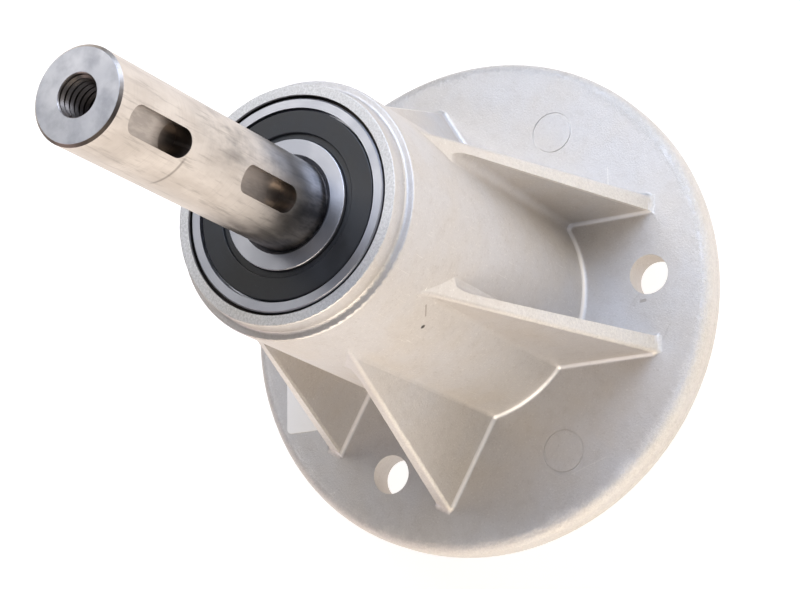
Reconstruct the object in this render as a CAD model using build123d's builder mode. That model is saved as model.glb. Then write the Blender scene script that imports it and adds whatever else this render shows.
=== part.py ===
from build123d import *
import os
from math import cos, hypot, radians, sin, tan

# Mower deck spindle: a cast housing that bolts to the deck, a keyed shaft and two sealed ball bearings.
# Millimetres. The origin is the centre of the flange's underside, +Z runs up the shaft's long keyed end,
# and +X goes through a bolt hole.

# Bearing, 20 x 47 x 14, used twice
bore_diameter = 20.0
bearing_outer_diameter = 47.0
bearing_width = 14.0
ball_diameter = 7.938
ball_count = 8
land_reach = 2.35
ring_lip = 2.15
ring_chamfer = 0.3
bore_chamfer = 1.0
inner_edge_radius = 0.2
groove_conformity = 1.04
ball_play = 0.1

# Seals
seal_seat_depth = 2.2
seal_seat_play = 0.45
seal_bead_width = 1.2
seal_web_thickness = 1.3
seal_recess = 0.3
seal_lip_play = 0.15
seal_step_width = 1.3
seal_step_depth = 0.7
seal_edge_radius = 0.25

# Cages
cage_thickness = 0.7
cage_land_gap = 0.85
cage_pocket_play = 0.15
rivet_diameter = 1.2
rivet_play = 0.05
rivet_head_diameter = 2.0
rivet_head_height = 0.4

# Shaft
shaft_above_collar = 73.5
shaft_below_flange = 26.0
shaft_chamfer = 0.6
relief_width = 0.8
relief_depth = 0.2
relief_overlap = 0.1
key_width = 6.0
key_depth = 3.5
key_end_pocket = 0.8
key_length = 20.0
key_angle = 93.6
lower_key_angle = 3.6
tip_to_keyway = 4.3
collar_to_keyway = 10.5
end_to_lower_keyway = 3.0
lower_key_length = 18.0
tap_diameter = 8.5
tap_depth = 26.0
tap_chamfer = 0.25
tap_point_angle = 118.0

# Spacer between the inner rings
spacer_wall = 3.2
spacer_play = 0.1
spacer_chamfer = 0.3

# Flange
flange_diameter = 123.2
flange_thickness = 7.0
rim_radius = 2.5
rim_lower_radius = 1.0
parting_height = 2.4
parting_depth = 0.15
bolt_edge_distance = 15.3
bolt_hole_diameter = 9.6
bolt_count = 3
ejector_edge_distance = 15.8
ejector_diameter = 10.4
ejector_line_width = 0.35
ejector_line_depth = 0.2

# Barrel and collar
barrel_height = 88.5
barrel_wall = 5.2
barrel_draft = 0.68
foot_fillet = 1.2
ledge_width = 1.9
collar_draft = 4.0
collar_height = 4.3
collar_fillet = 0.7
collar_edge_radius = 0.25
ledge_edge_radius = 0.4
seat_mouth_gap = 0.7
seat_mouth_depth = 1.6
seat_recess = 0.2
shoulder_width = 3.0

# Ribs, in parallel pairs beside each bolt hole
rib_offset = 17.3
rib_edge_distance = 13.8
rib_slope = 70.2
rib_width = 3.9
rib_crest_radius = 1.0
rib_root_fillet = 1.4
rib_root_inset = 4.0

# Paper label on the flange
label_length = 20.0
label_height = 13.0
label_thickness = 0.15
label_corner_radius = 1.2
label_edge_distance = 35.1
label_rib_gap = 1.7
label_bay_angle = -60.0

# Places that follow from the sizes above
collar_top = flange_thickness + barrel_height
seat_depth = bearing_width + seat_recess
upper_bearing_bottom = collar_top - seat_depth
lower_bearing_bottom = seat_recess
shaft_radius = bore_diameter / 2
shaft_top = collar_top + shaft_above_collar
shaft_bottom = -shaft_below_flange
pitch_radius = (bearing_outer_diameter + bore_diameter) / 4
ball_radius = ball_diameter / 2
flange_radius = flange_diameter / 2
bolt_circle_radius = flange_radius - bolt_edge_distance
ejector_circle_radius = flange_radius - ejector_edge_distance
ledge_height = collar_top - collar_height
barrel_rise = ledge_height - flange_thickness
seat_radius = bearing_outer_diameter / 2
cavity_radius = seat_radius - shoulder_width
barrel_top_radius = seat_radius + barrel_wall
barrel_base_radius = barrel_top_radius + barrel_rise * tan(radians(barrel_draft))
collar_foot_radius = barrel_top_radius - ledge_width
collar_radius = collar_foot_radius - collar_height * tan(radians(collar_draft))
outer_land_radius = pitch_radius + land_reach
inner_land_radius = pitch_radius - land_reach
bay_step = 360 / bolt_count


def corner(sketch, across, up):
    """The corner of a sketch that lies nearest a point of its plane."""
    return sketch.vertices().sort_by_distance((across, up))[0]


def placed(piece, height):
    """A copy of a bearing piece, its middle plane at a height above the flange's underside."""
    return piece.part.moved(Location((0, 0, height)))


def save(piece, name):
    """Names a finished piece and writes its file."""
    piece.label = name
    export_step(piece, f"parts/{name}.step")


# Ribs: drawn up with the barrel from one section, so that both have the die's draft, then cut to their slope
slope = radians(rib_slope)
rib_foot = flange_radius - rib_edge_distance
rib_length = rib_foot + rib_root_inset
with BuildPart() as outside_crests:
    with BuildSketch(Plane.XZ):
        with BuildLine():
            Polyline(
                (rib_foot + rib_root_inset / tan(slope), flange_thickness - rib_root_inset),
                (rib_foot - barrel_height / tan(slope), collar_top),
                (flange_radius, collar_top),
                (flange_radius, flange_thickness - rib_root_inset),
                close=True,
            )
        make_face()
    extrude(amount=rib_offset + rib_width, both=True)

with BuildPart() as ribs:
    with BuildSketch(Plane.XY.offset(flange_thickness)) as rib_section:
        Circle(barrel_base_radius)
        with PolarLocations(0, bolt_count):
            with Locations((rib_length / 2, -rib_offset), (rib_length / 2, rib_offset)):
                Rectangle(rib_length, rib_width)
        rib_roots = rib_section.vertices().group_by(lambda point: hypot(point.X, point.Y))[0]
        fillet(rib_roots, rib_root_fillet)
    extrude(amount=barrel_rise, taper=barrel_draft)
    with PolarLocations(0, bolt_count):
        add(outside_crests.part, mode=Mode.SUBTRACT)
    crest_edges = ribs.edges().filter_by(GeomType.LINE).sort_by(SortBy.LENGTH)[-4 * bolt_count:]
    fillet(crest_edges, rib_crest_radius)

# Housing: barrel and ribs, then the flange and collar turned onto them, then the bearing seats
seat_mouth = seat_radius + seat_mouth_gap
with BuildPart() as housing:
    with BuildSketch(Plane.XY.offset(flange_thickness)):
        Circle(barrel_base_radius)
    extrude(amount=barrel_rise, taper=barrel_draft)
    add(ribs.part)
    fillet(housing.edges().group_by(Axis.Z)[-1], ledge_edge_radius)
    with BuildSketch(Plane.XZ) as flange_section:
        with BuildLine():
            Polyline(
                (0, 0),
                (flange_radius, 0),
                (flange_radius, parting_height - parting_depth),
                (flange_radius - parting_depth, parting_height),
                (flange_radius, parting_height + parting_depth),
                (flange_radius, flange_thickness),
                (0, flange_thickness),
                close=True,
            )
        make_face()
        fillet(corner(flange_section, flange_radius, 0), rim_lower_radius)
        fillet(corner(flange_section, flange_radius, flange_thickness), rim_radius)
    revolve(axis=Axis.Z)
    flange_top = housing.faces().filter_by(Plane.XY).sort_by(Axis.Z)[1]
    fillet(flange_top.inner_wires().edges(), foot_fillet)
    with BuildSketch(Plane.XZ) as collar_section:
        with BuildLine():
            Polyline(
                (0, ledge_height),
                (collar_foot_radius, ledge_height),
                (collar_radius, collar_top),
                (0, collar_top),
                close=True,
            )
        make_face()
        fillet(corner(collar_section, collar_radius, collar_top), collar_edge_radius)
    revolve(axis=Axis.Z)
    ledge = housing.faces().filter_by(Plane.XY).sort_by(Axis.Z)[-2]
    fillet(ledge.inner_wires().edges(), collar_fillet)
    with BuildSketch(Plane.XZ):
        with BuildLine():
            Polyline(
                (0, 0),
                (seat_mouth, 0),
                (seat_mouth, seat_mouth_depth),
                (seat_radius, seat_mouth_depth),
                (seat_radius, seat_depth),
                (cavity_radius, seat_depth),
                (cavity_radius, upper_bearing_bottom),
                (seat_radius, upper_bearing_bottom),
                (seat_radius, collar_top - seat_mouth_depth),
                (seat_mouth, collar_top - seat_mouth_depth),
                (seat_mouth, collar_top),
                (0, collar_top),
                close=True,
            )
        make_face()
    revolve(axis=Axis.Z, mode=Mode.SUBTRACT)
    with BuildSketch():
        with PolarLocations(bolt_circle_radius, bolt_count):
            Circle(bolt_hole_diameter / 2)
    extrude(amount=flange_thickness, mode=Mode.SUBTRACT)
    with BuildSketch(Plane.XY.offset(flange_thickness)):
        with PolarLocations(ejector_circle_radius, bolt_count, start_angle=bay_step / 2):
            Circle(ejector_diameter / 2)
            Circle(ejector_diameter / 2 - ejector_line_width, mode=Mode.SUBTRACT)
    extrude(amount=-ejector_line_depth, mode=Mode.SUBTRACT)

# Shaft: ground bar with a fine relief at each bearing's outer face and tapped ends. The two upper keyways
# are in line. Each keyway's end nearest a bearing has the round pocket that the cutter sank on its way in.
upper_keyway = shaft_top - tip_to_keyway - key_length / 2
middle_keyway = collar_top + collar_to_keyway + key_length / 2
lower_keyway = shaft_bottom + end_to_lower_keyway + lower_key_length / 2
tap_radius = tap_diameter / 2
tap_cone = tap_radius / tan(radians(tap_point_angle / 2))
with BuildPart() as shaft:
    with BuildSketch(Plane.XY.offset(shaft_bottom)):
        Circle(shaft_radius)
    extrude(amount=shaft_top - shaft_bottom)
    chamfer(shaft.edges().filter_by(GeomType.CIRCLE), shaft_chamfer)
    for seat_face, end_side in ((upper_bearing_bottom + bearing_width, 1), (lower_bearing_bottom, -1)):
        with BuildSketch(Plane.XY.offset(seat_face + end_side * relief_overlap)):
            Circle(bearing_outer_diameter)
            Circle(shaft_radius - relief_depth, mode=Mode.SUBTRACT)
        extrude(amount=-end_side * relief_width, mode=Mode.SUBTRACT)
    for height, length, angle, bearing_side in (
        (upper_keyway, key_length, key_angle, -1),
        (middle_keyway, key_length, key_angle, -1),
        (lower_keyway, lower_key_length, lower_key_angle, 1),
    ):
        outward = Vector(1, 0, 0).rotate(Axis.Z, angle)
        key_plane = Plane(outward * shaft_radius + (0, 0, height), x_dir=(0, 0, 1), z_dir=outward)
        with BuildSketch(key_plane):
            SlotOverall(length, key_width)
        extrude(amount=-key_depth, mode=Mode.SUBTRACT)
        with BuildSketch(key_plane):
            with Locations((bearing_side * (length - key_width) / 2, 0)):
                Circle(key_width / 2)
        extrude(amount=-key_depth - key_end_pocket, mode=Mode.SUBTRACT)
    for end, inward in ((shaft_top, -1), (shaft_bottom, 1)):
        with BuildSketch(Plane.XZ):
            with BuildLine():
                Polyline(
                    (0, end),
                    (tap_radius + tap_chamfer, end),
                    (tap_radius, end + inward * tap_chamfer),
                    (tap_radius, end + inward * tap_depth),
                    (0, end + inward * (tap_depth + tap_cone)),
                    close=True,
                )
            make_face()
        revolve(axis=Axis.Z, mode=Mode.SUBTRACT)

# Spacer tube that holds the two inner rings apart
with BuildPart() as bearing_spacer:
    with BuildSketch(Plane.XY.offset(lower_bearing_bottom + bearing_width)):
        Circle(shaft_radius + spacer_play + spacer_wall)
        Circle(shaft_radius + spacer_play, mode=Mode.SUBTRACT)
    extrude(amount=upper_bearing_bottom - lower_bearing_bottom - bearing_width)
    chamfer(bearing_spacer.edges().filter_by(GeomType.CIRCLE), spacer_chamfer)

# Bearing rings, each turned about the shaft with a ball groove at its middle
half_width = bearing_width / 2
groove_radius = ball_radius * groove_conformity
seal_seat_radius = seat_radius - ring_lip
seal_seat_height = half_width - seal_seat_depth
with BuildPart() as outer_ring:
    with BuildSketch(Plane.XZ) as outer_section:
        with BuildLine() as outer_outline:
            Polyline(
                (outer_land_radius, 0),
                (outer_land_radius, seal_seat_height),
                (seal_seat_radius, seal_seat_height),
                (seal_seat_radius, half_width),
                (seat_radius, half_width),
                (seat_radius, 0),
            )
            mirror(about=Plane.XZ)
        make_face()
        chamfer(
            [corner(outer_section, seat_radius, side * half_width) for side in (-1, 1)],
            ring_chamfer,
        )
        with Locations((pitch_radius + ball_radius + ball_play - groove_radius, 0)):
            Circle(groove_radius, mode=Mode.SUBTRACT)
    revolve(axis=Axis.Z)

with BuildPart() as inner_ring:
    with BuildSketch(Plane.XZ) as inner_section:
        with Locations(((shaft_radius + inner_land_radius) / 2, 0)):
            Rectangle(inner_land_radius - shaft_radius, bearing_width)
        chamfer(
            [corner(inner_section, shaft_radius, side * half_width) for side in (-1, 1)],
            bore_chamfer,
        )
        fillet(
            [corner(inner_section, inner_land_radius, side * half_width) for side in (-1, 1)],
            inner_edge_radius,
        )
        with Locations((pitch_radius - ball_radius - ball_play + groove_radius, 0)):
            Circle(groove_radius, mode=Mode.SUBTRACT)
    revolve(axis=Axis.Z)

# Ball set, one solid for each ball
with BuildPart() as balls:
    with PolarLocations(pitch_radius, ball_count):
        Sphere(ball_radius)

# Pressed steel cage: a flat band with a domed pocket over each ball, in two riveted halves
pocket_radius = ball_radius + cage_pocket_play
cage_inner_radius = inner_land_radius + cage_land_gap
cage_outer_radius = outer_land_radius - cage_land_gap
rivet_angle = 180 / ball_count
with BuildPart() as cage_upper_half:
    with BuildSketch() as cage_band:
        Circle(cage_outer_radius)
        Circle(cage_inner_radius, mode=Mode.SUBTRACT)
    extrude(amount=cage_thickness)
    with PolarLocations(pitch_radius, ball_count):
        Sphere(pocket_radius + cage_thickness)
    extrude(cage_band.sketch, amount=half_width, mode=Mode.INTERSECT)
    with PolarLocations(pitch_radius, ball_count):
        Sphere(pocket_radius, mode=Mode.SUBTRACT)
    with PolarLocations(pitch_radius, ball_count, start_angle=rivet_angle):
        Hole(rivet_diameter / 2 + rivet_play)

with BuildPart() as cage_lower_half:
    mirror(cage_upper_half.part, about=Plane.XY)

with BuildPart() as cage_rivets:
    with PolarLocations(pitch_radius, ball_count, start_angle=rivet_angle):
        Cylinder(rivet_diameter / 2, 2 * (cage_thickness + rivet_head_height))
    for side in (-1, 1):
        with BuildSketch(Plane.XY.offset(side * cage_thickness)):
            with PolarLocations(pitch_radius, ball_count, start_angle=rivet_angle):
                Circle(rivet_head_diameter / 2)
        extrude(amount=side * rivet_head_height)

# Rubber seal: a bead in the outer ring's seat, a web, and a lower step that ends in the lip
seal_outer_radius = seal_seat_radius - seal_seat_play
seal_lip_radius = inner_land_radius + seal_lip_play
seal_step_radius = seal_lip_radius + seal_step_width
seal_top = half_width - seal_recess
seal_web_bottom = seal_top - seal_web_thickness
with BuildPart() as upper_seal:
    with BuildSketch(Plane.XZ) as seal_section:
        with BuildLine():
            Polyline(
                (seal_lip_radius, seal_web_bottom),
                (seal_lip_radius, seal_top - seal_step_depth),
                (seal_step_radius, seal_top - seal_step_depth),
                (seal_step_radius, seal_top),
                (seal_outer_radius, seal_top),
                (seal_outer_radius, seal_seat_height),
                (seal_outer_radius - seal_bead_width, seal_seat_height),
                (seal_outer_radius - seal_bead_width, seal_web_bottom),
                close=True,
            )
        make_face()
        fillet(
            [corner(seal_section, edge, seal_top) for edge in (seal_step_radius, seal_outer_radius)],
            seal_edge_radius,
        )
    revolve(axis=Axis.Z)

with BuildPart() as lower_seal:
    mirror(upper_seal.part, about=Plane.XY)

# Blank paper label, square to the middle of a bay between two rib pairs. One end faces the flange's edge,
# and the inner corner at that end stands just clear of the rib's side.
rib_lean = radians(bay_step / 2)
label_end = flange_radius - label_edge_distance
label_inner = (label_end * cos(rib_lean) + rib_offset + rib_width / 2 + label_rib_gap) / sin(rib_lean)
label_outward = Vector(1, 0, 0).rotate(Axis.Z, label_bay_angle)
with BuildPart() as paper_label:
    with BuildSketch(Plane((0, 0, flange_thickness), x_dir=label_outward, z_dir=(0, 0, 1))):
        with Locations((label_inner + label_height / 2, label_end - label_length / 2)):
            RectangleRounded(label_height, label_length, label_corner_radius)
    extrude(amount=label_thickness)

# One file for each piece
os.makedirs("parts", exist_ok=True)
save(housing.part, "housing")
save(shaft.part, "shaft")
save(bearing_spacer.part, "bearing_spacer")
save(paper_label.part, "paper_label")
bearings = {
    "upper": (upper_bearing_bottom + half_width, upper_seal, lower_seal),
    "lower": (lower_bearing_bottom + half_width, lower_seal, upper_seal),
}
for name, (middle, outer_seal, inner_seal) in bearings.items():
    save(placed(outer_ring, middle), f"{name}_bearing_outer_ring")
    save(placed(inner_ring, middle), f"{name}_bearing_inner_ring")
    save(placed(balls, middle), f"{name}_bearing_balls")
    save(placed(cage_upper_half, middle), f"{name}_bearing_cage_upper_half")
    save(placed(cage_lower_half, middle), f"{name}_bearing_cage_lower_half")
    save(placed(cage_rivets, middle), f"{name}_bearing_cage_rivets")
    save(placed(outer_seal, middle), f"{name}_bearing_outer_seal")
    save(placed(inner_seal, middle), f"{name}_bearing_inner_seal")
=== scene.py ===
"""Dresses the mower deck spindle: finishes, the threads in its shaft, soft studio light and the camera."""

import logging
import math
from dataclasses import dataclass, field
from enum import Enum
from typing import Any, Iterable, Sequence

import bpy
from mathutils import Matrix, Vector


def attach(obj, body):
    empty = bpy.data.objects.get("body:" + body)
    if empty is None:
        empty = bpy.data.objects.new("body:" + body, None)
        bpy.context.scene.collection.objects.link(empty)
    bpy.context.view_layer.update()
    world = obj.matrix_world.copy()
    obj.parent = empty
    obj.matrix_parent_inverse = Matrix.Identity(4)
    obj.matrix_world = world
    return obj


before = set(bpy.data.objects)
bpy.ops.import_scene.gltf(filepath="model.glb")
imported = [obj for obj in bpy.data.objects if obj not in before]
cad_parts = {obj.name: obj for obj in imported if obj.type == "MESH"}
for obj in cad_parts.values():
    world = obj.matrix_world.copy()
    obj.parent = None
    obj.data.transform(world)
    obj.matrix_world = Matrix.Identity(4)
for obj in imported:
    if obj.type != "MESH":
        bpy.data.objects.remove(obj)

LOG = logging.getLogger("spindle")
MM = 0.001
BAY_COUNT = 3
# heights above the flange's underside, and the radius of the tapped holes, in millimetres
FLANGE_TOP = 7.0
COLLAR_TOP = 95.5
SHAFT_TOP = 169.0
SHAFT_BOTTOM = -26.0
TAP_RADIUS = 4.25

Colour = tuple[float, float, float, float]
Socket = bpy.types.NodeSocket


def linear(code: str) -> Colour:
    """Turns an sRGB hex colour into the linear colour that the shaders take.

    Args:
        code: six hex digits, with or without a leading hash.

    Returns:
        Red, green, blue and alpha, linear, from 0 to 1.
    """
    digits = code.lstrip("#")
    shares = [int(digits[i:i + 2], 16) / 255 for i in (0, 2, 4)]
    return tuple(s / 12.92 if s <= 0.04045 else ((s + 0.055) / 1.055) ** 2.4 for s in shares) + (1.0,)


def add_node(
    tree: bpy.types.NodeTree,
    kind: str,
    inputs: dict[Any, Any] | None = None,
    **settings: Any,
) -> bpy.types.Node:
    """Adds a node to a tree, sets it up and links its inputs.

    Args:
        tree: the tree that gets the node.
        kind: the node's type name.
        inputs: what goes into each input, by its name or number: an output socket to link, or a value.
        settings: properties of the node itself.

    Returns:
        The new node.
    """
    node = tree.nodes.new(kind)
    for name, value in settings.items():
        setattr(node, name, value)
    for key, value in (inputs or {}).items():
        if isinstance(value, Socket):
            tree.links.new(value, node.inputs[key])
        else:
            node.inputs[key].default_value = value
    return node


class Pattern:
    """A material under construction: its tree, its shader and the object's own coordinates."""

    def __init__(self, name: str) -> None:
        """Starts a material with a plain shader.

        Args:
            name: name of the material.
        """
        self.material = bpy.data.materials.new(name)
        self.material.use_nodes = True
        self.tree = self.material.node_tree
        self.shader = self.tree.nodes["Principled BSDF"]
        self.place = self.node("ShaderNodeTexCoord").outputs["Object"]
        self.axes = self.node("ShaderNodeSeparateXYZ", {0: self.place}).outputs

    def node(self, kind: str, inputs: dict[Any, Any] | None = None, **settings: Any) -> bpy.types.Node:
        """Adds a node to this material."""
        return add_node(self.tree, kind, inputs, **settings)

    def value(self, operation: str, *terms: Any) -> Socket:
        """Joins numbers or sockets by one arithmetic operation."""
        return self.node("ShaderNodeMath", dict(enumerate(terms)), operation=operation).outputs[0]

    def along(self, direction: Sequence[float]) -> Socket:
        """Distance from the origin along a direction, in metres."""
        inputs = {0: self.place, 1: Vector(direction)}
        return self.node("ShaderNodeVectorMath", inputs, operation="DOT_PRODUCT").outputs["Value"]

    def radius(self) -> Socket:
        """Distance from the shaft's axis, in metres."""
        flat = self.node("ShaderNodeVectorMath", {0: self.place, 1: (1.0, 1.0, 0.0)}, operation="MULTIPLY")
        return self.node("ShaderNodeVectorMath", {0: flat.outputs[0]}, operation="LENGTH").outputs["Value"]

    def ramp(self, source: Socket, low: float, high: float, out: tuple[float, float] = (0.0, 1.0)) -> Socket:
        """Eases from one number to another while the source goes from low to high.

        Args:
            source: the socket that is read.
            low: where the ramp starts.
            high: where the ramp ends, above low.
            out: the numbers at its start and end.

        Returns:
            The eased number.
        """
        inputs = {"Value": source, "From Min": low, "From Max": high, "To Min": out[0], "To Max": out[1]}
        return self.node("ShaderNodeMapRange", inputs, interpolation_type="SMOOTHSTEP").outputs[0]

    def band(self, source: Socket, low: float, high: float, soft: float) -> Socket:
        """One between low and high and nought outside, with soft edges."""
        rise = self.ramp(source, low - soft, low + soft)
        return self.value("MULTIPLY", rise, self.ramp(source, high - soft, high + soft, (1.0, 0.0)))

    def distance(self, point: Sequence[float]) -> Socket:
        """Distance in metres from a point that is given in millimetres."""
        inputs = {0: self.place, 1: Vector(point) * MM}
        return self.node("ShaderNodeVectorMath", inputs, operation="DISTANCE").outputs["Value"]

    def stroke(self, start: Sequence[float], end: Sequence[float], width_mm: float) -> Socket:
        """Draws a soft stroke on the surface, or a dot where both ends are the same point.

        Args:
            start: one end, in millimetres.
            end: the other end.
            width_mm: the stroke's width.

        Returns:
            One on the stroke and nought beside it.
        """
        first, last = Vector(start) * MM, Vector(end) * MM
        way = (last - first).normalized()
        offset = self.node("ShaderNodeVectorMath", {0: self.place, 1: first}, operation="SUBTRACT").outputs[0]
        run = self.node("ShaderNodeVectorMath", {0: offset, 1: way}, operation="DOT_PRODUCT").outputs["Value"]
        run = self.value("MINIMUM", self.value("MAXIMUM", run, 0.0), (last - first).length)
        nearest = self.node("ShaderNodeVectorMath", {0: way, "Scale": run}, operation="SCALE").outputs[0]
        inputs = {0: offset, 1: nearest}
        gap = self.node("ShaderNodeVectorMath", inputs, operation="DISTANCE").outputs["Value"]
        return self.ramp(gap, width_mm * MM / 4, width_mm * MM / 2, (1.0, 0.0))

    def noise(
        self,
        size_mm: float,
        detail: float,
        roughness: float = 0.55,
        stretch: Sequence[float] = (1, 1, 1),
        place: Socket | None = None,
    ) -> Socket:
        """Cloudy noise of a real feature size.

        Args:
            size_mm: width of one feature.
            detail: how many finer layers it has.
            roughness: how strong the finer layers are.
            stretch: how many times longer a feature is along each axis.
            place: coordinates in metres, when they aren't the object's own.

        Returns:
            The noise, around 0.5.
        """
        scale = tuple(1.0 / s for s in stretch)
        moved = self.node("ShaderNodeMapping", {"Vector": place or self.place, "Scale": scale}).outputs[0]
        inputs = {"Vector": moved, "Scale": 1.0 / (size_mm * MM), "Detail": detail, "Roughness": roughness}
        return self.node("ShaderNodeTexNoise", inputs).outputs[0]

    def blend(self, share: Any, first: Any, second: Any) -> Socket:
        """Mixes two colours by a share of the second one.

        Args:
            share: how much of the second colour there is.
            first: hex colour or socket.
            second: hex colour or socket.

        Returns:
            The mixed colour.
        """
        pair = [linear(c) if isinstance(c, str) else c for c in (first, second)]
        # inputs 6 and 7 and output 2 are the node's colour sockets
        node = self.node("ShaderNodeMix", {0: share, 6: pair[0], 7: pair[1]}, data_type="RGBA")
        return node.outputs[2]

    def relief(self, height: Socket, depth_mm: float, under: Socket | None = None) -> Socket:
        """Turns a height pattern into a surface normal.

        Args:
            height: the pattern, from 0 to 1.
            depth_mm: height of the relief from its lowest to its highest place.
            under: the normal that this relief is laid on.

        Returns:
            The normal.
        """
        inputs: dict[Any, Any] = {"Height": height, "Distance": depth_mm * MM, "Strength": 1.0}
        if under is not None:
            inputs["Normal"] = under
        return self.node("ShaderNodeBump", inputs).outputs[0]

    def finish(self, colour: Socket, roughness: Any, normal: Socket, **constants: Any) -> bpy.types.Material:
        """Connects the shader.

        Args:
            colour: socket of the base colour.
            roughness: socket or number.
            normal: socket of the surface normal.
            constants: other shader inputs, by name with underscores for spaces.

        Returns:
            The finished material.
        """
        wires = {"Base Color": colour, "Roughness": roughness, "Normal": normal}
        wires.update({name.replace("_", " "): number for name, number in constants.items()})
        for name, item in wires.items():
            if isinstance(item, Socket):
                self.tree.links.new(item, self.shader.inputs[name])
            else:
                self.shader.inputs[name].default_value = item
        return self.material


@dataclass(frozen=True)
class CastAluminium:
    """Die-cast aluminium, blasted and left bare: pale, dry and faintly grained, with bright edges."""

    body: str = "#D2CDC8"
    cool: str = "#D3D1D1"
    shade: str = "#A89F97"
    # rubbed is worn metal, and also paints light on the crests, the rim and the ejector circles
    rubbed: str = "#F1EEE9"
    fillet_highlight: str = "#EFF0F5"
    soot_and_gap_shade: str = "#2E2926"
    face: str = "#C6C5C3"
    face_grain: str = "#E4E3E2"
    metal_share: float = 0.75
    roughness: float = 0.5
    # widths of the patterns' features, in millimetres
    cloud_mm: float = 26.0
    mottle_mm: float = 2.6
    grain_mm: float = 0.5
    patch_mm: float = 17.0
    long_scratch_mm: float = 0.32
    short_scratch_mm: float = 0.4
    wander_mm: float = 4.5
    speck_mm: float = 0.6
    chip_mm: float = 0.8
    lathe_mm: float = 0.25
    # how strongly each mark covers what is under it
    long_scratch_share: float = 0.5
    short_scratch_share: float = 0.25
    crest_share: float = 0.55
    rim_share: float = 0.48
    chip_share: float = 0.25
    fillet_highlight_share: float = 0.6
    ejector_lift_share: float = 0.25
    face_share: float = 0.85
    # the ribs and their crests, in millimetres and degrees
    rib_offset: float = 17.3
    rib_width: float = 3.9
    rib_foot: float = 47.8
    rib_slope: float = 70.2
    crest_margin: float = 0.1
    crest_rise: float = 0.8
    crest_depth: float = 0.85
    crest_soft: float = 0.25
    crest_wander: float = 0.15
    crest_start: float = 33.0
    crest_full: float = 38.0
    # the flange, its rim, the fillet on it and the ejector pins' circles, in millimetres
    flange_top: float = FLANGE_TOP
    flange_radius: float = 61.6
    rim_width: float = 4.5
    rim_lip: float = 1.0
    rim_wander: float = 0.9
    foot_bottom: float = 7.12
    foot_height: float = 8.15
    foot_soft: float = 0.08
    foot_reach: float = 50.0
    ejector_reach: float = 45.8
    ejector_radius: float = 5.03
    ejector_line: float = 0.4
    # the collar's face and the mouth of its seat, in millimetres
    collar_top: float = COLLAR_TOP
    mouth_radius: float = 24.2
    # the gap in the seat's mouth gets painted shade, full below one depth and fading out by another
    mouth_depth: float = 1.6
    gap_shade_end_depth: float = 0.4
    gap_shade_full_depth: float = 0.9

    def crest_mask(self, p: Pattern, ragged: Socket) -> Socket:
        """Finds the sloping crests of the ribs.

        Args:
            p: the material.
            ragged: a length in metres by which the rubbed border wanders.

        Returns:
            How much a place is on a crest.
        """
        slope = math.radians(self.rib_slope)
        level = (self.rib_foot * math.sin(slope) + self.flange_top * math.cos(slope)) * MM
        half = self.rib_width / 2 + self.crest_margin
        inner, outer = self.rib_offset - half, self.rib_offset + half
        crest: Any = 0.0
        for bay in range(BAY_COUNT):
            turn = math.tau * bay / BAY_COUNT
            outward = (math.cos(turn), math.sin(turn), 0.0)
            normal = (outward[0] * math.sin(slope), outward[1] * math.sin(slope), math.cos(slope))
            depth = p.value("ADD", p.value("SUBTRACT", level, p.along(normal)), ragged)
            across = p.value("ABSOLUTE", p.along((-outward[1], outward[0], 0.0)))
            slab = p.band(across, inner * MM, outer * MM, self.crest_margin * MM)
            slab = p.value("MULTIPLY", slab, p.value("GREATER_THAN", p.along(outward), 0.0))
            skin = p.band(depth, -self.crest_rise * MM, self.crest_depth * MM, self.crest_soft * MM)
            crest = p.value("MAXIMUM", crest, p.value("MULTIPLY", slab, skin))
        off_barrel = p.ramp(p.radius(), self.crest_start * MM, self.crest_full * MM)
        return p.value("MULTIPLY", crest, off_barrel)

    def edges(self, p: Pattern) -> tuple[Socket, Socket]:
        """Finds the crests and the flange's rim, which are rubbed bright with a painted highlight, up to a
        ragged border.

        Args:
            p: the material.

        Returns:
            How much a place is on a crest, and how much it is on the rim.
        """
        wander = p.noise(self.wander_mm, 4, 0.75)
        crest_border = p.ramp(wander, 0.3, 0.7, (-self.crest_wander * MM, self.crest_wander * MM))
        rim_border = p.ramp(wander, 0.3, 0.7, (-self.rim_wander * MM, self.rim_wander * MM))
        inner, outer = self.flange_radius - self.rim_width, self.flange_radius - self.rim_lip
        rim = p.ramp(p.value("ADD", p.radius(), rim_border), inner * MM, outer * MM)
        return self.crest_mask(p, crest_border), rim

    def handled(self, p: Pattern, colour: Socket) -> tuple[Socket, Socket]:
        """Adds fine pale scratches and short dark ones, in patches, as handling leaves them.

        Args:
            p: the material.
            colour: the colour so far.

        Returns:
            The new colour, and how much a place is scratched.
        """
        patch = p.ramp(p.noise(self.patch_mm, 2), 0.48, 0.66)
        long = p.ramp(p.noise(self.long_scratch_mm, 2, 0.5, (1, 1, 24)), 0.66, 0.74)
        long = p.value("MULTIPLY", long, patch)
        short = p.ramp(p.noise(self.short_scratch_mm, 2, 0.5, (16, 5, 1)), 0.68, 0.76)
        short = p.value("MULTIPLY", short, patch)
        colour = p.blend(p.value("MULTIPLY", long, self.long_scratch_share), colour, self.rubbed)
        return p.blend(p.value("MULTIPLY", short, self.short_scratch_share), colour, self.shade), long

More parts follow.
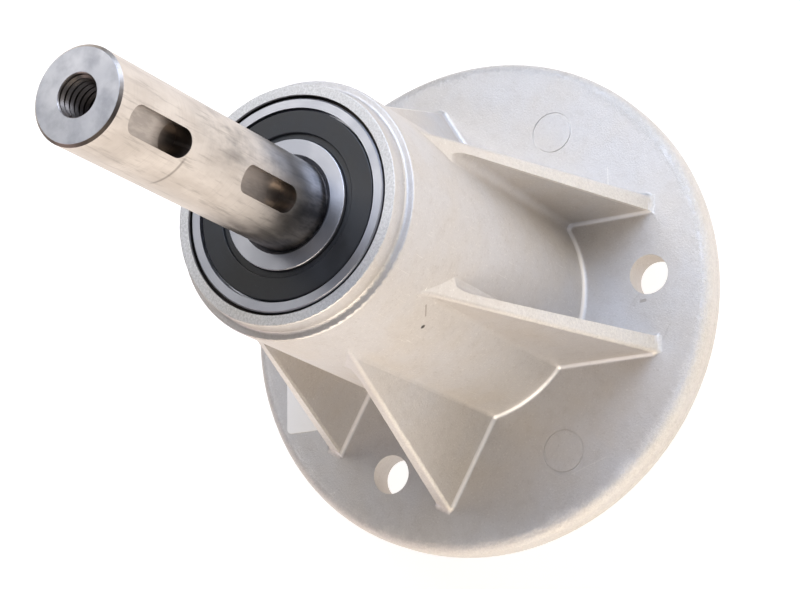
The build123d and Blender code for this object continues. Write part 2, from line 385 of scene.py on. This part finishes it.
    def moulded(self, p: Pattern, colour: Socket) -> Socket:
        """Adds a painted highlight along the fillet on the flange, and painted light in the ejector pins'
        circles that lifts their grooves' shade.

        Args:
            p: the material.
            colour: the colour so far.

        Returns:
            The new colour.
        """
        # the fillet's band is painted light as its highlight
        level = p.band(p.axes["Z"], self.foot_bottom * MM, self.foot_height * MM, self.foot_soft * MM)
        within = p.ramp(p.radius(), self.foot_reach * MM, (self.foot_reach + 1.0) * MM, (1.0, 0.0))
        foot = p.value("MULTIPLY", level, within)
        colour = p.blend(p.value("MULTIPLY", foot, self.fillet_highlight_share), colour, self.fillet_highlight)
        inner = self.ejector_radius - self.ejector_line / 2
        outer = self.ejector_radius + self.ejector_line / 2
        # each ejector circle's groove is painted lighter to lift its shade
        for bay in range(BAY_COUNT):
            turn = math.tau * (bay + 0.5) / BAY_COUNT
            x, y = self.ejector_reach * math.cos(turn), self.ejector_reach * math.sin(turn)
            circle = p.band(p.distance((x, y, self.flange_top)), inner * MM, outer * MM, 0.05 * MM)
            colour = p.blend(p.value("MULTIPLY", circle, self.ejector_lift_share), colour, self.rubbed)
        return colour

    def seat_gap_shade(self, p: Pattern) -> Socket:
        """Finds the gap round the bearing, whose shade is painted dark.

        Args:
            p: the material.

        Returns:
            How much a place is in the gap.
        """
        height = p.axes["Z"]
        inner, outer = self.mouth_radius + 0.02, self.mouth_radius + 0.06
        within = p.ramp(p.radius(), inner * MM, outer * MM, (1.0, 0.0))
        floor = self.collar_top - self.mouth_depth
        above = p.ramp(height, (floor - 0.3) * MM, (floor - 0.2) * MM)
        # painted shade: full below the lower level and gone above the upper one
        gap_shade_low, clean = self.collar_top - self.gap_shade_full_depth, self.collar_top - self.gap_shade_end_depth
        below = p.ramp(height, gap_shade_low * MM, clean * MM, (1.0, 0.0))
        return p.value("MULTIPLY", p.value("MULTIPLY", within, above), below)

    def marks(self, p: Pattern, colour: Socket) -> Socket:
        """Adds the few marks that stand out: a dark dot, four scratches, a speck and a scuff.

        Args:
            p: the material.
            colour: the colour so far.

        Returns:
            The new colour.
        """
        for start, end, width, code, share in (
            ((10.9, 26.8, 67.5), (10.9, 26.8, 67.5), 1.4, self.soot_and_gap_shade, 0.9),
            ((6.5, 28.2, 72.4), (8.6, 27.7, 69.7), 0.5, self.shade, 0.9),
            ((3.2, 28.7, 75.9), (5.5, 28.3, 76.3), 0.3, self.rubbed, 1.0),
            ((24.3, 15.7, 68.8), (24.3, 15.7, 68.8), 0.45, self.soot_and_gap_shade, 0.8),
            ((-17.2, 42.1, 7.0), (-16.6, 41.3, 7.0), 1.0, self.shade, 0.7),
            ((-43.0, 18.0, 7.0), (-36.0, 22.0, 7.0), 0.25, self.rubbed, 0.6),
            ((20.0, 50.0, 7.0), (27.0, 44.0, 7.0), 0.25, self.rubbed, 0.3),
        ):
            colour = p.blend(p.value("MULTIPLY", p.stroke(start, end, width), share), colour, code)
        return colour

    def make(self) -> bpy.types.Material:
        """Builds the material.

        Returns:
            The finished material.
        """
        p = Pattern("cast_aluminium")
        mottle = p.noise(self.mottle_mm, 4, 0.6)
        grain = p.noise(self.grain_mm, 3, 0.75)
        colour = p.blend(p.ramp(p.noise(self.cloud_mm, 3, 0.6), 0.35, 0.65), self.body, self.cool)
        colour = p.blend(p.ramp(mottle, 0.45, 0.8, (0.0, 0.16)), colour, self.shade)
        colour = p.blend(p.ramp(grain, 0.55, 0.72, (0.0, 0.5)), colour, self.rubbed)
        colour = p.blend(p.ramp(grain, 0.28, 0.44, (0.42, 0.0)), colour, self.shade)
        colour, scratched = self.handled(p, colour)
        # the crests and rim are rubbed bright with a painted highlight, speckled, with dull chips
        crest, rim = self.edges(p)
        speck = p.ramp(p.noise(self.speck_mm, 4, 0.8), 0.3, 0.7)
        share = p.value("MULTIPLY", rim, self.rim_share)
        share = p.value("MAXIMUM", p.value("MULTIPLY", crest, self.crest_share), share)
        colour = p.blend(p.value("MULTIPLY", share, p.value("ADD", 0.35, speck)), colour, self.rubbed)
        rubbed = p.value("MAXIMUM", crest, rim)
        chips = p.value("MULTIPLY", rubbed, p.ramp(p.noise(self.chip_mm, 3, 0.7), 0.6, 0.72))
        colour = p.blend(p.value("MULTIPLY", chips, self.chip_share), colour, self.shade)
        # painted highlight on the fillet and painted light in the ejector circles
        colour = self.moulded(p, colour)
        # the collar's face is turned: sandy grey, with fine rings
        face = p.ramp(p.axes["Z"], (self.collar_top - 0.12) * MM, (self.collar_top - 0.04) * MM)
        flat = p.node("ShaderNodeCombineXYZ", {0: p.radius()}).outputs[0]
        lathe = p.noise(self.lathe_mm, 2, 0.5, place=flat)
        sandy = p.blend(p.ramp(grain, 0.35, 0.65), self.face, self.face_grain)
        colour = p.blend(p.value("MULTIPLY", face, self.face_share), colour, sandy)
        # after the marks, the gap round the bearing gets its painted shade
        colour = p.blend(self.seat_gap_shade(p), self.marks(p, colour), self.soot_and_gap_shade)
        normal = None
        for pattern, depth_mm in (
            (mottle, 0.06),
            (grain, 0.07),
            (p.value("MULTIPLY", rubbed, speck), 0.08),
            (p.value("SUBTRACT", 1.0, scratched), 0.02),
            (p.value("MULTIPLY", face, lathe), 0.01),
        ):
            normal = p.relief(pattern, depth_mm, normal)
        rough = p.value("ADD", self.roughness, p.ramp(grain, 0.3, 0.7, (-0.05, 0.06)))
        return p.finish(colour, rough, normal, Metallic=self.metal_share)


@dataclass(frozen=True)
class GroundSteel:
    """Carbon steel bar, centreless ground: bright and warm, with grey streaks, smudges with painted shade and
    fine rings.
    """

    body: str = "#C5BEB7"
    bright: str = "#D8D2CC"
    streaked: str = "#8E8985"
    smudge_and_shade: str = "#45464B"
    brown: str = "#3F332B"
    face: str = "#BABCC3"
    face_rubbed: str = "#A0A2AA"
    chamfer_darkening: str = "#4E4138"
    bore_shade: str = "#544943"
    bore_shade_share: float = 0.72
    roughness: float = 0.34
    # widths of the patterns' features, in millimetres
    ring_mm: float = 0.3
    streak_mm: float = 0.9
    cloud_mm: float = 6.0
    film_mm: float = 7.0
    fine_film_mm: float = 1.6
    milled_mm: float = 0.5
    rubbed_mm: float = 5.0
    # the shaft's own sizes, in millimetres
    radius: float = 10.0
    top: float = SHAFT_TOP
    bottom: float = SHAFT_BOTTOM
    collar_top: float = COLLAR_TOP
    tap_radius: float = TAP_RADIUS
    key_width: float = 6.0
    # the chamfer's darkening stops just short of the chamfer's foot, and every keyway's floor lies outside
    # slot_reach
    chamfer_dark_depth: float = 0.58
    slot_reach: float = 5.0
    # each keyway: its angle, the heights of its ends, its floor's colour and how strongly its deep end is
    # painted with shade and dark reflection
    keyways: tuple[tuple[float, float, float, str, float], ...] = (
        (93.6, 144.7, 164.7, "#AFA8A2", 0.7),
        (93.6, 106.0, 126.0, "#ADA49D", 0.3),
        (3.6, -23.0, -5.0, "#9C948D", 0.5),
    )
    # the painted shade and reflection are full up to one distance from the deep end and gone at the other, in
    # millimetres
    end_shade_full: float = 4.0
    end_shade_fade: float = 9.5
    # dense smudges, with painted shade, fade out over two heights above the collar's top, and none lie under
    # dense_bottom
    dense_full: float = 3.0
    dense_end: float = 19.0
    dense_bottom: float = 50.0
    # patchy smudges, with painted shade, lie on the side turned from the light, between two heights, in
    # millimetres
    patchy_low: float = 104.0
    patchy_high: float = 142.0
    patchy_soft: float = 10.0
    # a thin brown line that runs part of the way round the shaft, in millimetres
    line_low: float = 144.5
    line_high: float = 145.1
    line_soft: float = 0.3
    line_share: float = 0.5

    def smudges_and_shade(self, p: Pattern, colour: Socket) -> Socket:
        """Adds the smudges, which also paint shade: dense near the bearing and patchy up the far side.

        Args:
            p: the material.
            colour: the colour so far.

        Returns:
            The new colour.
        """
        height = p.axes["Z"]
        film = p.noise(self.film_mm, 4, 0.62, (1, 1, 2.0))
        fine = p.noise(self.fine_film_mm, 4, 0.65, (1, 1, 5.0))
        # near the bearing the smudges also paint the shade where the shaft meets it
        full, end = self.collar_top + self.dense_full, self.collar_top + self.dense_end
        near = p.ramp(height, full * MM, end * MM, (1.0, 0.0))
        near = p.value("MULTIPLY", near, p.value("GREATER_THAN", height, self.dense_bottom * MM))
        # the far side is the one turned from the light; the smudges there also paint its shade
        far_side = p.ramp(p.along((-0.93, 0.36, 0.0)), 1.0 * MM, 9.0 * MM)
        level = p.band(height, self.patchy_low * MM, self.patchy_high * MM, self.patchy_soft * MM)
        patchy = p.value("MULTIPLY", far_side, level)
        patchy = p.value("MULTIPLY", patchy, p.ramp(film, 0.4, 0.66, (0.05, 0.6)))
        dense = p.value("MULTIPLY", near, p.ramp(film, 0.25, 0.6, (0.45, 0.92)))
        share = p.value("MULTIPLY", p.value("MAXIMUM", patchy, dense), p.ramp(fine, 0.3, 0.6, (0.7, 1.0)))
        return p.blend(share, colour, self.smudge_and_shade)

    def machined(self, p: Pattern, colour: Socket) -> Socket:
        """Adds the milled keyways, with painted shade and dark reflection at their deep ends.

        Args:
            p: the material.
            colour: the colour so far.

        Returns:
            The new colour.
        """
        height = p.axes["Z"]
        inside = p.ramp(p.radius(), (self.radius - 0.25) * MM, (self.radius - 0.1) * MM, (1.0, 0.0))
        milled = p.noise(self.milled_mm, 3, 0.6, (2, 2, 8))
        half = self.key_width / 2
        for angle, low, high, code, end_shade in self.keyways:
            turn = math.radians(angle)
            toward = p.along((math.cos(turn), math.sin(turn), 0.0))
            across = p.value("ABSOLUTE", p.along((-math.sin(turn), math.cos(turn), 0.0)))
            slot = p.value("MULTIPLY", p.band(height, low * MM, high * MM, 0.05 * MM), inside)
            narrow = p.ramp(across, (half + 0.05) * MM, (half + 0.1) * MM, (1.0, 0.0))
            slot = p.value("MULTIPLY", slot, narrow)
            near_side = p.ramp(toward, self.slot_reach * MM, (self.slot_reach + 0.2) * MM)
            slot = p.value("MULTIPLY", slot, near_side)
            floor = p.blend(p.ramp(milled, 0.4, 0.65, (0.0, 0.5)), code, self.streaked)
            colour = p.blend(slot, colour, floor)
            # the deep end is the one nearest a bearing; the painted shade and dark reflection fade out from
            # it
            deep_end = low if low > 0 else high
            away = p.value("ABSOLUTE", p.value("SUBTRACT", height, deep_end * MM))
            painted_end_shade = p.ramp(away, self.end_shade_full * MM, self.end_shade_fade * MM, (end_shade, 0.0))
            colour = p.blend(p.value("MULTIPLY", slot, painted_end_shade), colour, self.brown)
        return colour

    def ends(self, p: Pattern, colour: Socket) -> Socket:
        """Adds the turned end faces, their chamfers, darker towards one side, and painted shade in the tapped
        holes.

        Args:
            p: the material.
            colour: the colour so far.

        Returns:
            The new colour.
        """
        radius = p.radius()
        middle = (self.top + self.bottom) / 2
        half = self.top - middle
        reach = p.value("ABSOLUTE", p.value("SUBTRACT", p.axes["Z"], middle * MM))
        face = p.ramp(reach, (half - 0.06) * MM, (half - 0.03) * MM)
        rubbed = p.ramp(p.noise(self.rubbed_mm, 4, 0.6), 0.35, 0.7)
        colour = p.blend(face, colour, p.blend(rubbed, self.face, self.face_rubbed))
        level = p.band(reach, (half - self.chamfer_dark_depth) * MM, (half - 0.05) * MM, 0.03 * MM)
        outside = p.ramp(radius, (self.radius - 0.7) * MM, (self.radius - 0.6) * MM)
        chamfer = p.value("MULTIPLY", level, outside)
        # the chamfers get darker towards one side
        worn = p.ramp(p.along((0.75, 0.66, 0.0)), -4.0 * MM, 7.0 * MM, (0.15, 0.85))
        colour = p.blend(p.value("MULTIPLY", chamfer, worn), colour, self.chamfer_darkening)
        # the tapped holes are painted dark as their shade
        bore = p.ramp(radius, (self.tap_radius + 0.1) * MM, (self.tap_radius + 0.3) * MM, (1.0, 0.0))
        return p.blend(p.value("MULTIPLY", bore, self.bore_shade_share), colour, self.bore_shade)

    def make(self) -> bpy.types.Material:
        """Builds the material.

        Returns:
            The finished material.
        """
        p = Pattern("ground_steel")
        rings = p.noise(self.ring_mm, 2, 0.6, (40, 40, 1))
        streak = p.noise(self.streak_mm, 4, 0.65, (1, 1, 11))
        cloud = p.noise(self.cloud_mm, 4, 0.62, (1, 1, 2.5))
        colour = p.blend(p.ramp(cloud, 0.35, 0.65), self.body, self.bright)
        colour = p.blend(p.ramp(streak, 0.5, 0.74, (0.0, 0.5)), colour, self.streaked)
        colour = p.blend(p.ramp(rings, 0.5, 0.8, (0.0, 0.15)), colour, self.streaked)
        line = p.band(p.axes["Z"], self.line_low * MM, self.line_high * MM, self.line_soft * MM)
        line = p.value("MULTIPLY", line, p.ramp(p.along((0.57, 0.82, 0.0)), 8.6 * MM, 9.6 * MM))
        colour = p.blend(p.value("MULTIPLY", line, self.line_share), colour, self.brown)
        colour = self.ends(p, self.machined(p, self.smudges_and_shade(p, colour)))
        normal = p.relief(streak, 0.003, p.relief(rings, 0.003))
        rough = p.value("ADD", self.roughness, p.ramp(cloud, 0.3, 0.7, (-0.05, 0.08)))
        return p.finish(colour, rough, normal, Metallic=1.0)


@dataclass(frozen=True)
class RingSteel:
    """Hardened bearing steel, fine ground: clean silver grey, with fine rings.

    The real rings are too fine to show, so they are drawn 0.2 mm apart.
    """

    name: str
    body: str
    worn: str
    roughness: float
    ring_mm: float = 0.2
    cloud_mm: float = 8.0

    def make(self) -> bpy.types.Material:
        """Builds the material.

        Returns:
            The finished material.
        """
        p = Pattern(self.name)
        flat = p.node("ShaderNodeCombineXYZ", {0: p.radius(), 1: p.axes["Z"]}).outputs[0]
        rings = p.noise(self.ring_mm, 2, 0.6, place=flat)
        cloud = p.noise(self.cloud_mm, 3, 0.5)
        colour = p.blend(p.ramp(cloud, 0.35, 0.7, (0.0, 0.4)), self.body, self.worn)
        colour = p.blend(p.ramp(rings, 0.5, 0.75, (0.0, 0.2)), colour, self.worn)
        rough = p.value("ADD", self.roughness, p.ramp(cloud, 0.3, 0.7, (-0.03, 0.05)))
        return p.finish(colour, rough, p.relief(rings, 0.002), Metallic=1.0)


@dataclass(frozen=True)
class SealRubber:
    """Nitrile rubber moulded onto a steel washer: charcoal and satin, with mould rings and a little dust."""

    body: str = "#222326"
    dusty: str = "#2A2C30"
    pore: str = "#5A5C62"
    fleck: str = "#C9C7C4"
    fleck_place: tuple[float, float, float] = (21.5, -1.0, 95.2)
    fleck_width: float = 0.5
    roughness: float = 0.42
    ring_mm: float = 0.6
    dust_mm: float = 8.0
    pore_mm: float = 0.3

    def make(self) -> bpy.types.Material:
        """Builds the material.

        Returns:
            The finished material.
        """
        p = Pattern("nitrile_rubber")
        flat = p.node("ShaderNodeCombineXYZ", {0: p.radius()}).outputs[0]
        rings = p.noise(self.ring_mm, 2, 0.5, place=flat)
        dust = p.noise(self.dust_mm, 3, 0.6)
        pores = p.noise(self.pore_mm, 2, 0.6)
        colour = p.blend(p.ramp(dust, 0.35, 0.7), self.body, self.dusty)
        colour = p.blend(p.ramp(pores, 0.66, 0.76, (0.0, 0.25)), colour, self.pore)
        fleck = p.stroke(self.fleck_place, self.fleck_place, self.fleck_width)
        colour = p.blend(fleck, colour, self.fleck)
        normal = p.relief(pores, 0.006, p.relief(rings, 0.008))
        rough = p.value("ADD", self.roughness, p.ramp(dust, 0.3, 0.7, (-0.04, 0.06)))
        return p.finish(colour, rough, normal, Specular_IOR_Level=0.5)


@dataclass(frozen=True)
class LabelPaper:
    """Uncoated white label paper: matt, faintly fibrous and a little grubby in places."""

    body: str = "#FBFAF8"
    grubby: str = "#EAE6E0"
    fibre: str = "#FFFFFF"
    roughness: float = 0.85
    fibre_mm: float = 0.5
    grubby_mm: float = 7.0

    def make(self) -> bpy.types.Material:
        """Builds the material.

        Returns:
            The finished material.
        """
        p = Pattern("label_paper")
        fibre = p.noise(self.fibre_mm, 4, 0.7, (3, 1, 1))
        grubby = p.ramp(p.noise(self.grubby_mm, 3, 0.6), 0.5, 0.75, (0.0, 0.6))
        colour = p.blend(grubby, self.body, self.grubby)
        colour = p.blend(p.ramp(fibre, 0.5, 0.8, (0.0, 0.25)), colour, self.fibre)
        return p.finish(colour, self.roughness, p.relief(fibre, 0.02), Specular_IOR_Level=0.3)


class Finish(Enum):
    """The finishes of the spindle's pieces."""

    CASTING = CastAluminium()
    SHAFT = GroundSteel()
    RING = RingSteel("bearing_steel", "#B7B9C0", "#A4A6AE", 0.38)
    BALL = RingSteel("ball_steel", "#D4D6DA", "#C4C6CC", 0.12)
    CAGE = RingSteel("pressed_cage_steel", "#A8A8AB", "#8C8C90", 0.4)
    SEAL = SealRubber()
    LABEL = LabelPaper()


class Finishes:
    """Makes each finish once and hands it out."""

    def __init__(self) -> None:
        """Starts with no material made."""
        self.made: dict[Finish, bpy.types.Material] = {}

    def get(self, finish: Finish) -> bpy.types.Material:
        """Makes a finish the first time that it is asked for.

        Args:
            finish: the finish.

        Returns:
            Its material.
        """
        if finish not in self.made:
            self.made[finish] = finish.value.make()
        return self.made[finish]

    def dress(self, names: Iterable[str], finish: Finish) -> None:
        """Gives CAD nodes a finish.

        Args:
            names: the nodes.
            finish: their finish.
        """
        for name in names:
            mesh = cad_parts[name].data
            mesh.materials.clear()
            mesh.materials.append(self.get(finish))
            LOG.info("dressed %s in %s", name, finish.name.lower())


def deselect() -> None:
    """Leaves edit mode and deselects everything."""
    if bpy.context.object is not None and bpy.context.object.mode != "OBJECT":
        bpy.ops.object.mode_set(mode="OBJECT")
    bpy.ops.object.select_all(action="DESELECT")


@dataclass
class Housing:
    """The cast housing with its paper label."""

    nodes: tuple[str, ...] = ("housing",)
    label: tuple[str, ...] = ("paper_label",)

    def dress(self, finishes: Finishes) -> None:
        """Gives the casting and the label their finishes."""
        finishes.dress(self.nodes, Finish.CASTING)
        finishes.dress(self.label, Finish.LABEL)


@dataclass
class Bearing:
    """One sealed ball bearing."""

    name: str

    def dress(self, finishes: Finishes) -> None:
        """Gives the rings, balls, cage and seals their finishes.

        Args:
            finishes: where the finishes come from.
        """
        parts = {
            Finish.RING: ("outer_ring", "inner_ring"),
            Finish.BALL: ("balls",),
            Finish.CAGE: ("cage_upper_half", "cage_lower_half", "cage_rivets"),
            Finish.SEAL: ("outer_seal", "inner_seal"),
        }
        for finish, names in parts.items():
            finishes.dress([f"{self.name}_bearing_{n}" for n in names], finish)


@dataclass
class Shaft:
    """The keyed shaft with its spacer, and the thread cut in each end."""

    top: float = SHAFT_TOP
    bottom: float = SHAFT_BOTTOM
    tap_radius: float = TAP_RADIUS
    # the thread, in millimetres, with the widths of its ridge as shares of its pitch
    thread_pitch: float = 1.5
    thread_depth: float = 0.45
    thread_sink: float = 0.05
    thread_start: float = 0.35
    root_share: float = 0.88
    tip_share: float = 0.16
    thread_turns: int = 13
    steps: int = 40
    merge_gap: float = 0.001
    smooth_angle: float = 30.0

    def thread(self, name: str, end: float, inward: int) -> bpy.types.Object:
        """Models the ridge of a cut thread inside a tapped hole.

        Args:
            name: name of the piece.
            end: height of the shaft's end face.
            inward: 1 or -1, the way into the shaft.

        Returns:
            The finished piece.
        """
        deselect()
        bpy.ops.mesh.primitive_plane_add(size=1.0, enter_editmode=False, location=(0, 0, 0))
        ridge = bpy.context.object
        ridge.name = name
        pitch = self.thread_pitch
        root, tip = self.tap_radius + self.thread_sink, self.tap_radius - self.thread_depth
        half_root, half_tip = self.root_share * pitch / 2, self.tip_share * pitch / 2
        corners = ((root, -half_root), (tip, -half_tip), (tip, half_tip), (root, half_root))
        # the whole ridge, with its own height, stays inside the hole
        outermost = end + inward * (self.thread_start + half_root)
        lowest = min(outermost, outermost + inward * self.thread_turns * pitch)
        # the plane's corners in their order round it become the corners of the ridge's section
        order = sorted(range(4), key=lambda i: (ridge.data.vertices[i].co.x, ridge.data.vertices[i].co.y))
        ring = (order[0], order[1], order[3], order[2])
        for index, (across, up) in zip(ring, corners):
            ridge.data.vertices[index].co = (across * MM, 0.0, (lowest + up) * MM)
        screw = ridge.modifiers.new("cut", "SCREW")
        screw.axis = "Z"
        screw.screw_offset = pitch * MM
        screw.iterations = self.thread_turns
        screw.steps = screw.render_steps = self.steps
        screw.use_merge_vertices = False
        bpy.ops.object.modifier_apply(modifier=screw.name)
        bpy.ops.object.mode_set(mode="EDIT")
        bpy.ops.mesh.select_all(action="SELECT")
        bpy.ops.mesh.remove_doubles(threshold=self.merge_gap * MM)
        bpy.ops.mesh.fill_holes(sides=4)
        bpy.ops.mesh.normals_make_consistent(inside=False)
        bpy.ops.object.mode_set(mode="OBJECT")
        bpy.ops.object.shade_smooth_by_angle(angle=math.radians(self.smooth_angle))
        LOG.info("modelled %s", name)
        return ridge

    def build(self, finishes: Finishes) -> None:
        """Dresses the shaft and spacer and adds both threads.

        Args:
            finishes: where the finishes come from.
        """
        finishes.dress(("shaft", "bearing_spacer"), Finish.SHAFT)
        for name, end, inward in (("upper_thread", self.top, -1), ("lower_thread", self.bottom, 1)):
            ridge = self.thread(name, end, inward)
            ridge.data.materials.append(finishes.get(Finish.SHAFT))
            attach(ridge, "rotor")


@dataclass
class Studio:
    """Pale floor, soft lamps and the camera."""

    # the floor lies just under the shaft's lower end, in millimetres, and its side is in metres
    floor_height: float = SHAFT_BOTTOM - 0.1
    floor_size: float = 6.0
    floor_colour: str = "#C4C2C0"
    floor_roughness: float = 0.9
    floor_lift: float = 0.72
    lift_colour: str = "#FFFFFF"
    mirrored_colour: str = "#F2E6DA"
    mirrored_lift: float = 0.85
    sky: str = "#D2D6E0"
    sky_strength: float = 0.33
    # the camera's place in millimetres, its turns in degrees and its lens in millimetres
    camera_place: tuple[float, float, float] = (14.4, 279.1, 485.05)
    camera_turn: tuple[float, float, float] = (15.674, 28.286, 118.934)
    lens: float = 102.18
    sensor_width: float = 36.0
    clip_start: float = 0.01
    clip_end: float = 50.0
    # each lamp's place and side in metres, its power in watts and its colour, and where all of them aim
    lamps: dict[str, tuple[tuple[float, float, float], float, float, str]] = field(default_factory=lambda: {
        "warm_low": ((0.52, 0.52, 0.206), 0.45, 3.7, "#FFF0DA"),
        "warm_side": ((-0.52, 0.52, 0.206), 0.45, 1.8, "#FFF5E2"),
        "cool_high": ((-0.386, 0.0, 0.51), 0.35, 2.6, "#D8E6FF"),
        "high": ((-0.193, -0.334, 0.51), 0.35, 0.9, "#FFFBF5"),
        "low": ((0.69, -0.25, 0.206), 0.45, 1.0, "#FFE8E6"),
    })
    aim: tuple[float, float, float] = (0.0, 0.0, 0.05)

    def paper(self) -> bpy.types.Material:
        """Builds the floor's matt paper, which cameras and mirrors see paler than the lamps make it.

        Returns:
            The finished material.
        """
        material = bpy.data.materials.new("white_paper_floor")
        material.use_nodes = True
        tree = material.node_tree
        shader = tree.nodes["Principled BSDF"]
        shader.inputs["Base Color"].default_value = linear(self.floor_colour)
        shader.inputs["Roughness"].default_value = self.floor_roughness
        path = add_node(tree, "ShaderNodeLightPath").outputs
        inputs = {0: path["Is Camera Ray"], 1: self.floor_lift}
        seen = add_node(tree, "ShaderNodeMath", inputs, operation="MULTIPLY").outputs[0]
        inputs = {0: path["Is Glossy Ray"], 1: path["Is Transmission Ray"]}
        mirrored = add_node(tree, "ShaderNodeMath", inputs, operation="MAXIMUM").outputs[0]
        inputs = {0: mirrored, 1: self.mirrored_lift}
        mirrored = add_node(tree, "ShaderNodeMath", inputs, operation="MULTIPLY").outputs[0]
        inputs = {"Color": linear(self.lift_colour), "Strength": seen}
        white = add_node(tree, "ShaderNodeEmission", inputs).outputs[0]
        inputs = {"Color": linear(self.mirrored_colour), "Strength": mirrored}
        warm = add_node(tree, "ShaderNodeEmission", inputs).outputs[0]
        glow = add_node(tree, "ShaderNodeAddShader", {0: white, 1: warm}).outputs[0]
        both = add_node(tree, "ShaderNodeAddShader", {0: shader.outputs[0], 1: glow}).outputs[0]
        tree.links.new(both, tree.nodes["Material Output"].inputs["Surface"])
        return material

    def floor(self) -> None:
        """Adds the floor, which looks white and keeps the shadow."""
        deselect()
        bpy.ops.mesh.primitive_plane_add(size=self.floor_size, location=(0, 0, self.floor_height * MM))
        plane = bpy.context.object
        plane.name = "floor"
        plane.data.materials.append(self.paper())

    def world(self) -> None:
        """Sets a dim, cool room round the object."""
        world = bpy.data.worlds.new("studio")
        bpy.context.scene.world = world
        world.use_nodes = True
        background = world.node_tree.nodes["Background"]
        background.inputs["Color"].default_value = linear(self.sky)
        background.inputs["Strength"].default_value = self.sky_strength

    def light(self) -> None:
        """Hangs the soft lamps, each aimed at the middle of the part."""
        for name, (place, size, power, code) in self.lamps.items():
            data = bpy.data.lights.new(name, "AREA")
            data.shape = "SQUARE"
            data.size = size
            data.energy = power
            data.color = linear(code)[:3]
            lamp = bpy.data.objects.new(name, data)
            bpy.context.scene.collection.objects.link(lamp)
            lamp.location = place
            lamp.rotation_euler = (Vector(self.aim) - Vector(place)).to_track_quat("-Z", "Y").to_euler()

    def camera(self) -> None:
        """Places the camera at the photograph's angle."""
        data = bpy.data.cameras.new("camera")
        data.lens = self.lens
        data.sensor_width = self.sensor_width
        data.sensor_fit = "HORIZONTAL"
        data.clip_start = self.clip_start
        data.clip_end = self.clip_end
        camera = bpy.data.objects.new("camera", data)
        bpy.context.scene.collection.objects.link(camera)
        camera.location = Vector(self.camera_place) * MM
        camera.rotation_euler = [math.radians(a) for a in self.camera_turn]
        bpy.context.scene.camera = camera

    def build(self) -> None:
        """Sets the whole studio up."""
        self.floor()
        self.world()
        self.light()
        self.camera()
        bpy.context.scene.view_settings.view_transform = "Standard"
        LOG.info("studio ready")


def main() -> None:
    """Builds and dresses the spindle and its studio."""
    logging.basicConfig(level=logging.INFO, format="%(name)s: %(message)s")
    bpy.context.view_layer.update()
    finishes = Finishes()
    Housing().dress(finishes)
    for name in ("upper", "lower"):
        Bearing(name).dress(finishes)
    Shaft().build(finishes)
    Studio().build()
    bpy.context.view_layer.update()


if __name__ == "__main__":
    main()
